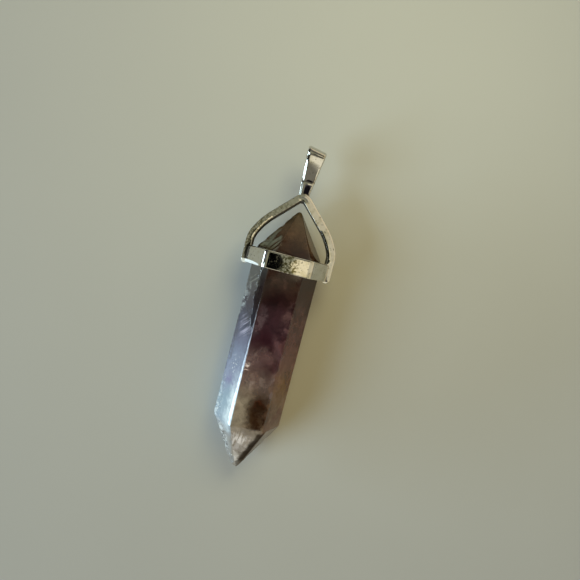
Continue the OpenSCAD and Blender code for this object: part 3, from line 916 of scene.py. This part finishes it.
def dark_strip(tree, parts, grown):
    """The share of a dark strip on the right facet of the lower point, along its edge with the front facet.
    It fades out to both sides, towards the tip and towards the shoulder."""
    uneven = add_node(tree, "ShaderNodeMix", {0: 0.25, 2: past_edge(tree, parts, -SLOPE), 3: grown})
    strip = 0.9
    for value, start, full in (
            (uneven, -0.6, -0.15), (uneven, 1.2, 0.35), (parts["Y"], 7.0, 6.2), (parts["Y"], 0.8, 2.2)):
        limit = add_node(tree, "ShaderNodeMapRange", {
            "Value": value, "From Min": start, "From Max": full}, interpolation_type="SMOOTHSTEP")
        strip = add_node(tree, "ShaderNodeMath", {0: limit, 1: strip}, operation="MULTIPLY")
    return strip


def left_of_facet(tree, stone, parts):
    """How far in mm a place lies to the left of the narrow facet's right boundary, and how far that boundary
    lies to the right of the long edge: nothing at the facet's upper end, and 0.3 mm at the shoulder."""
    low, high = stone.lower_point / MM, (stone.lower_point + stone.sliver_length) / MM
    boundary = add_node(tree, "ShaderNodeMapRange", {
        "Value": parts["Y"], "From Min": high, "From Max": low, "To Max": 0.3})
    leftward = add_node(tree, "ShaderNodeMath", {
        0: boundary, 1: past_edge(tree, parts, SLOPE)}, operation="SUBTRACT")
    return leftward, boundary


def worn_places(tree, drift):
    """One in the worn places, and zero away from them."""
    worn = 0.0
    for middle, reach in WORN:
        worn = add_node(tree, "ShaderNodeMath", {
            0: ellipsoid(tree, drift, middle, reach, 0.15), 1: worn}, operation="MAXIMUM")
    return add_node(tree, "ShaderNodeMapRange", {"Value": worn, "From Max": 0.35})


def cracks_and_glints(tree, drift):
    """The share of small healed cracks with painted white glints, spots about 0.15 mm wide at the middles of
    cells, each of its own size."""
    cells = add_node(tree, "ShaderNodeTexVoronoi", {"Vector": drift, "Scale": 3.0})
    some = add_node(tree, "ShaderNodeSeparateColor", {"Color": cells.outputs["Color"]})
    own_size = add_node(tree, "ShaderNodeMath", {
        0: some.outputs["Red"], 1: -0.5, 2: cells.outputs["Distance"]}, operation="MULTIPLY_ADD")
    return add_node(tree, "ShaderNodeMapRange", {
        "Value": own_size, "From Min": -0.07, "From Max": -0.27}, interpolation_type="SMOOTHSTEP")


def hand_polish(tree, place, crumb, worn):
    """The surface's direction and its roughness. The polish is a little wavy, and the worn edges are crumbly,
    which breaks up what they mirror."""
    waves = add_node(tree, "ShaderNodeTexNoise", {"Vector": place, "Scale": 0.9, "Detail": 4.0})
    rough = add_node(tree, "ShaderNodeMapRange", {
        "Value": waves, "From Min": 0.35, "From Max": 0.7, "To Min": 0.02, "To Max": 0.06})
    crumbs = add_node(tree, "ShaderNodeMath", {0: crumb, 1: worn}, operation="MULTIPLY")
    wavy = add_node(tree, "ShaderNodeBump", {"Height": waves, "Strength": 1.0, "Distance": 0.0025 * MM})
    crumbly = add_node(tree, "ShaderNodeBump", {
        "Height": crumbs, "Strength": 1.0, "Distance": 0.04 * MM, "Normal": wavy})
    return crumbly, rough


def dark_corner(tree, drift, left, leftward, boundary):
    """The share of the dark corner under the collar, on the left side and off the narrow facet, which is 2.9
    times as wide as the part of it that lies right of the long edge."""
    beside = add_node(tree, "ShaderNodeMath", {0: boundary, 1: -2.9, 2: leftward}, operation="MULTIPLY_ADD")
    beside = add_node(tree, "ShaderNodeMath", {0: beside, 1: 0.0}, operation="GREATER_THAN")
    corner = ellipsoid(tree, drift, (-2.25, 23.2, 3.4), (1.0, 4.3, 1.85), 0.85)
    for limit in (left, beside):
        corner = add_node(tree, "ShaderNodeMath", {0: corner, 1: limit}, operation="MULTIPLY")
    return corner


def amethyst(stone, cap):
    """Amethyst with smoky zones, cut and polished: quartz that lets light through and takes a plum or brown
    colour with depth. Clouds, veils and healed cracks under the surface scatter the light, so they show as
    milky patches and wisps, and the lower point was ground but not polished."""
    material, tree = new_material("amethyst_polished")
    place = pendant_place(tree, stone, cap)
    drift, push = drifting(tree, place)
    patterns = grains(tree, place, drift)
    parts = add_node(tree, "ShaderNodeSeparateXYZ", {"Vector": place}).outputs
    drifted = add_node(tree, "ShaderNodeSeparateXYZ", {"Vector": drift}).outputs
    under_collar = add_node(tree, "ShaderNodeMath", {0: parts["Y"], 1: 26.5}, operation="LESS_THAN")
    look = zoned(tree, drift, patterns, growth(tree, drifted["Y"], FRONT_GROWTH), FRONT_ZONES)

    grown = past_edge(tree, drifted, -SLOPE)
    strip = dark_strip(tree, parts, grown)
    look = laid_on(tree, strip, look, (linear("#281C12"), 0.9))

    # The right side is darker and browner, though the clouds reach into it
    right = add_node(tree, "ShaderNodeMapRange", {
        "Value": grown, "From Min": -0.4, "From Max": 0.3}, interpolation_type="SMOOTHSTEP")
    right = add_node(tree, "ShaderNodeMath", {0: under_collar, 1: right}, operation="MULTIPLY")
    browned = add_node(tree, "ShaderNodeMath", {0: right, 1: 0.7}, operation="MULTIPLY")
    look = laid_on(tree, browned, look, growth(tree, drifted["Y"], RIGHT_GROWTH))

    # Lighter and darker drifts all through
    drifts = add_node(tree, "ShaderNodeTexNoise", {
        "Vector": drift, "Scale": 0.6, "Detail": 6.0, "Roughness": 0.6, "Distortion": 0.8})
    light = add_node(tree, "ShaderNodeMapRange", {
        "Value": drifts, "From Min": 0.3, "From Max": 0.7, "To Min": 0.6, "To Max": 1.45})
    lit = add_node(tree, "ShaderNodeVectorMath", {0: look[0], "Scale": light}, operation="SCALE")

    # The left side is hazy, and its bluish tint is painted sheen of the window light, from the narrow facet's
    # right boundary on
    leftward, boundary = left_of_facet(tree, stone, parts)
    left = add_node(tree, "ShaderNodeMapRange", {"Value": leftward, "From Min": -0.03, "From Max": 0.03})
    left = add_node(tree, "ShaderNodeMath", {0: left, 1: under_collar}, operation="MULTIPLY")
    left_haze_and_sheen = zoned(tree, drift, patterns, growth(tree, drifted["Y"], LEFT_HAZE_AND_SHEEN), LEFT_ZONES)
    look = laid_on(tree, left, (lit, look[1]), left_haze_and_sheen)

    # Healed cracks with painted white glints in the worn places
    worn = worn_places(tree, drift)
    painted_glints = add_node(tree, "ShaderNodeMath", {0: cracks_and_glints(tree, drift), 1: worn}, operation="MULTIPLY")
    look = laid_on(tree, painted_glints, look, (linear("#FFFFFF"), 0.95))
    clear = add_node(tree, "ShaderNodeMath", {0: 1.0, 1: look[1]}, operation="SUBTRACT")

    # The dark corner and the dark strip are shallow hollows that face up
    corner = dark_corner(tree, drift, left, leftward, boundary)
    hollow = add_node(tree, "ShaderNodeMath", {0: corner, 1: strip}, operation="MAXIMUM")
    crumbly, rough = hand_polish(tree, place, patterns["crumb"], worn)
    upward = add_node(tree, "ShaderNodeVectorMath", {
        0: push, 1: (0.25, 0.25, 0.1), 2: (-0.03, -0.12, 1.0)}, operation="MULTIPLY_ADD")
    facing = add_node(tree, "ShaderNodeMix", {0: hollow, 4: crumbly, 5: upward}, data_type="VECTOR")
    facing = add_node(tree, "ShaderNodeVectorMath", {0: facing}, operation="NORMALIZE")

    # Painted shade: the right side's specular level is turned down, so that it mirrors less of the table
    shaded_shine = add_node(tree, "ShaderNodeMapRange", {"Value": right, "To Min": 0.5, "To Max": 0.2})
    surface = add_node(tree, "ShaderNodeBsdfPrincipled", {
        "Base Color": look[0], "Roughness": rough, "IOR": 1.544, "Specular IOR Level": shaded_shine,
        "Transmission Weight": clear, "Normal": facing})
    inside = add_node(tree, "ShaderNodeVolumeAbsorption", {"Color": linear("#B2968C"), "Density": 120.0})
    add_node(tree, "ShaderNodeOutputMaterial", {"Surface": surface, "Volume": inside})
    return material


def pale_table(finish):
    """Pale matt laminate, with a grain too fine to see as more than a slight unevenness."""
    material, tree = new_material("laminate_matt")
    place = add_node(tree, "ShaderNodeTexCoord").outputs["Object"]
    grain = add_node(tree, "ShaderNodeTexNoise", {
        "Vector": place, "Scale": 60.0, "Detail": 3.0, "Roughness": 0.5})
    tone = add_node(tree, "ShaderNodeMapRange", {"Value": grain, "To Min": 0.98, "To Max": 1.02})
    colour = add_node(tree, "ShaderNodeVectorMath", {
        0: linear(finish.floor)[:3], "Scale": tone}, operation="SCALE")
    surface = add_node(tree, "ShaderNodeBsdfPrincipled", {
        "Base Color": colour, "Roughness": 0.7, "Specular IOR Level": 0.2})
    add_node(tree, "ShaderNodeOutputMaterial", {"Surface": surface})
    return material


# Lamps: direction from +X towards +Y and height in degrees, distance and size in metres, radiance, colour
LAMPS = [
    ("low window", 192, 9, 1.0, (0.62, 0.13), 20.0, "#D4EEFC"),
    ("window", 210, 33, 1.0, (0.5, 0.5), 7.0, "#D6F0FA"),
    ("warm lamp", 79, 54, 0.0866, (0.04, 0.04), 4.5, "#FFF9C3"),
]

# The room that the silver mirrors, each patch over those before it: direction and height of its middle, its
# reach and the width of its soft edge in degrees, its colour and strength
ROOM = [
    ("grey wall, left", 180, 40, 50, 30, "#CBD0D2", 0.30),
    ("dark wall, upper left", 135, 15, 38, 20, "#8C8C80", 0.10),
    ("dark corner, lower left", 228, 20, 28, 14, "#404040", 0.5),
    ("bright wall, upper right", 60, 6, 40, 14, "#FFF0CC", 0.90),
    ("bright wall, lower right", 318, 15, 34, 16, "#FFEFCC", 0.85),
    ("bright wall, right", 2, 27, 24, 10, "#FFF2D0", 0.80),
    ("bright wall at the near end", 288, 20, 31, 9, "#FFF8E0", 1.05),
    ("shade at the far end", 97, 38, 20, 18, "#74726A", 0.9),
    ("olive shade overhead", 170, 84, 24, 12, "#CFCFB2", 0.52),
    ("cream ceiling", 5, 67, 20.8, 0.6, "#FBF2D2", 0.73),
    ("bright cream above the collar", 310, 83.4, 1.7, 0.4, "#FFF2CC", 1.15),
    ("shade above the near end", 258, 57, 19, 14, "#807C70", 1.0),
    ("darker above the near end", 290, 73, 9.0, 2.0, "#5A565A", 0.95),
    ("black above the near end", 279, 71, 6.5, 1.5, "#18161A", 0.9),
    ("grey patch above the bail", 60, 85.5, 1.8, 0.7, "#7A7A76", 1.0),
    ("small black disc", 264.5, 84.9, 2.1, 0.12, "#080808", 0.5),
]
# How much of the room's red, green and blue light reaches what is matt
WALLS_ON_MATT = (0.48, 0.34, 0.12)


def direction_to(azimuth, height):
    """A direction of length 1, from its turn from +X towards +Y and its rise over the table, in degrees."""
    turn, rise = math.radians(azimuth), math.radians(height)
    return Vector((math.cos(turn) * math.cos(rise), math.sin(turn) * math.cos(rise), math.sin(rise)))


def room():
    """The surroundings: a dim warm room with soft patches of light and shade in fixed directions."""
    world = bpy.data.worlds.new("room")
    world.use_nodes = True
    tree = world.node_tree
    tree.nodes.clear()
    towards = add_node(tree, "ShaderNodeTexCoord").outputs["Generated"]
    # The dim warm light that is left between the patches
    colour = [0.05 * c for c in linear("#FFCBA0")[:3]] + [1.0]
    for name, azimuth, height, reach, soft, tint, strength in ROOM:
        near = add_node(tree, "ShaderNodeVectorMath", {
            0: towards, 1: direction_to(azimuth, height)}, operation="DOT_PRODUCT", label=name)
        outer, inner = (math.cos(math.radians(max(reach + edge, 0))) for edge in (soft / 2, -soft / 2))
        share = add_node(tree, "ShaderNodeMapRange", {
            "Value": near, "From Min": outer, "From Max": inner}, interpolation_type="SMOOTHSTEP")
        glow = [strength * c for c in linear(tint)[:3]] + [1.0]
        colour = add_node(tree, "ShaderNodeMix", {0: share, 6: colour, 7: glow}, data_type="RGBA")
    # The walls light what is matt less, and more warmly, than the patches which the silver mirrors would
    weak = add_node(tree, "ShaderNodeVectorMath", {0: colour, 1: WALLS_ON_MATT}, operation="MULTIPLY")
    matt = add_node(tree, "ShaderNodeLightPath").outputs["Is Diffuse Ray"]
    seen = add_node(tree, "ShaderNodeMix", {0: matt, 6: colour, 7: weak}, data_type="RGBA")
    light = add_node(tree, "ShaderNodeBackground", {"Color": seen})
    add_node(tree, "ShaderNodeOutputWorld", {"Surface": light})
    return world


def lay_table(scene, finish):
    """The square table top under the pendant."""
    # Half the side of the table's square, in metres
    half = 1.5
    corners = [(-half, -half, 0), (half, -half, 0), (half, half, 0), (-half, half, 0)]
    floor = bpy.data.meshes.new("table")
    floor.from_pydata(corners, [], [(0, 1, 2, 3)])
    floor.materials.append(pale_table(finish))
    table = bpy.data.objects.new("table", floor)
    scene.collection.objects.link(table)


def hang_lamps(scene):
    """The lamps, all turned towards the middle of the table. A lamp's power is pi times its area and its
    radiance. Only the windows show in what is mirrored."""
    for name, azimuth, height, distance, size, radiance, colour in LAMPS:
        light = bpy.data.lights.new(name, "AREA")
        light.shape = "RECTANGLE"
        light.size, light.size_y = size
        light.energy = math.pi * size[0] * size[1] * radiance
        light.color = linear(colour)[:3]
        lamp = bpy.data.objects.new(name, light)
        scene.collection.objects.link(lamp)
        lamp.location = distance * direction_to(azimuth, height)
        lamp.rotation_euler = (-lamp.location).to_track_quat("-Z", "Y").to_euler()
        lamp.visible_camera = False
        lamp.visible_glossy = "window" in name


def aim_camera(scene, studio):
    """The camera, at its distance from the point that it looks at, rolled and leant to the left."""
    lens = bpy.data.cameras.new("camera")
    lens.sensor_width = 36
    lens.lens = lens.sensor_width * studio.lens_share
    lens.clip_start, lens.clip_end = 0.001, 10
    camera = bpy.data.objects.new("camera", lens)
    scene.collection.objects.link(camera)
    turn = Matrix.Rotation(-studio.lean, 4, "Y") @ Matrix.Rotation(studio.roll, 4, "Z")
    away = Matrix.Translation((0, 0, studio.distance))
    camera.matrix_world = Matrix.Translation(studio.aim) @ turn @ away
    scene.camera = camera


class PENDANT_OT_stone(bpy.types.Operator):
    """Cuts the six-sided stone with its two points, narrow facet and chipped edges"""

    bl_idname = "pendant.stone"
    bl_label = "Cut the stone"

    def execute(self, context):
        stone, cap = context.scene.pendant_stone, context.scene.pendant_cap
        points = laid_down(cut_stone(stone), stone, cap)
        steep = stone_side(stone) / math.hypot(stone_side(stone), stone.upper_point)
        # The end's point lies just under the top of the ball that the worn tip is cut round
        worn_end = stone.length + stone.tip_round * (1 - 1 / steep) - 0.002 * MM
        tips = laid_down(np.array([[0, stone.blunt, 0], [0, worn_end, 0]]), stone, cap)
        mesh = facing_out(grid_mesh("stone", points, False, tips[:1], tips[1:]))
        mesh.shade_smooth()
        mesh.set_sharp_from_angle(angle=math.radians(38))
        mesh.materials.append(amethyst(stone, cap))
        placed("crystal_stone", mesh, "root", "crystal")
        return {"FINISHED"}


class PENDANT_OT_cap(bpy.types.Operator):
    """Makes the collar, bow and bail and solders them into one body"""

    bl_idname = "pendant.cap"
    bl_label = "Solder the cap"

    def execute(self, context):
        scene = context.scene
        stone, cap, finish = scene.pendant_stone, scene.pendant_cap, scene.pendant_finish
        meshes = [
            facing_out(grid_mesh("bow", bow_grid(stone, cap), False)),
            facing_out(grid_mesh("collar", collar_grid(stone, cap), True)),
            facing_out(grid_mesh("bail", bail_grid(stone, cap), True))]
        mesh = soldered("cap", meshes)
        tilt, shift = resting_place(stone, cap)
        mesh.transform(Matrix.Translation(shift) @ Matrix.Rotation(tilt, 4, "X"))
        mesh.shade_smooth()
        mesh.set_sharp_from_angle(angle=math.radians(32))
        mesh.materials.clear()
        mesh.materials.append(silver_plate(stone, cap, finish))
        piece = placed("silver_cap", mesh, "root", "cap")
        even = piece.modifiers.new("even shading", "WEIGHTED_NORMAL")
        even.keep_sharp = True
        return {"FINISHED"}


class PENDANT_OT_stage(bpy.types.Operator):
    """Sets the table, the lights and the camera"""

    bl_idname = "pendant.stage"
    bl_label = "Set the stage"

    def execute(self, context):
        scene = context.scene
        lay_table(scene, scene.pendant_finish)
        scene.world = room()
        hang_lamps(scene)
        aim_camera(scene, scene.pendant_studio)
        scene.view_settings.view_transform = "Standard"
        return {"FINISHED"}


class PENDANT_PT_panel(bpy.types.Panel):
    """Lists the pendant's pieces and settings"""

    bl_idname = "PENDANT_PT_panel"
    bl_label = "Crystal pendant"
    bl_space_type = "VIEW_3D"
    bl_region_type = "UI"
    bl_category = "Pendant"

    def draw(self, context):
        for group in PROPERTY_GROUPS:
            settings = getattr(context.scene, group)
            box = self.layout.box()
            for name in settings.bl_rna.properties.keys():
                if name not in ("rna_type", "name"):
                    box.prop(settings, name)
        for operator in OPERATORS:
            self.layout.operator(operator.bl_idname)


OPERATORS = [PENDANT_OT_stage, PENDANT_OT_stone, PENDANT_OT_cap]
PROPERTY_GROUPS = {
    "pendant_stone": StoneSizes, "pendant_cap": CapSizes, "pendant_finish": Finish, "pendant_studio": Studio}


def register():
    """Registers the classes and gives every scene the settings."""
    for kind in [*PROPERTY_GROUPS.values(), *OPERATORS, PENDANT_PT_panel]:
        bpy.utils.register_class(kind)
    for name, group in PROPERTY_GROUPS.items():
        setattr(bpy.types.Scene, name, PointerProperty(type=group))


def unregister():
    """Takes back what register did, in the opposite order."""
    for name in PROPERTY_GROUPS:
        delattr(bpy.types.Scene, name)
    for kind in reversed([*PROPERTY_GROUPS.values(), *OPERATORS, PENDANT_PT_panel]):
        bpy.utils.unregister_class(kind)


def main():
    """Makes the stage and the pieces in order."""
    register()
    bpy.ops.pendant.stage()
    bpy.ops.pendant.stone()
    bpy.ops.pendant.cap()


if __name__ == "__main__":
    main()
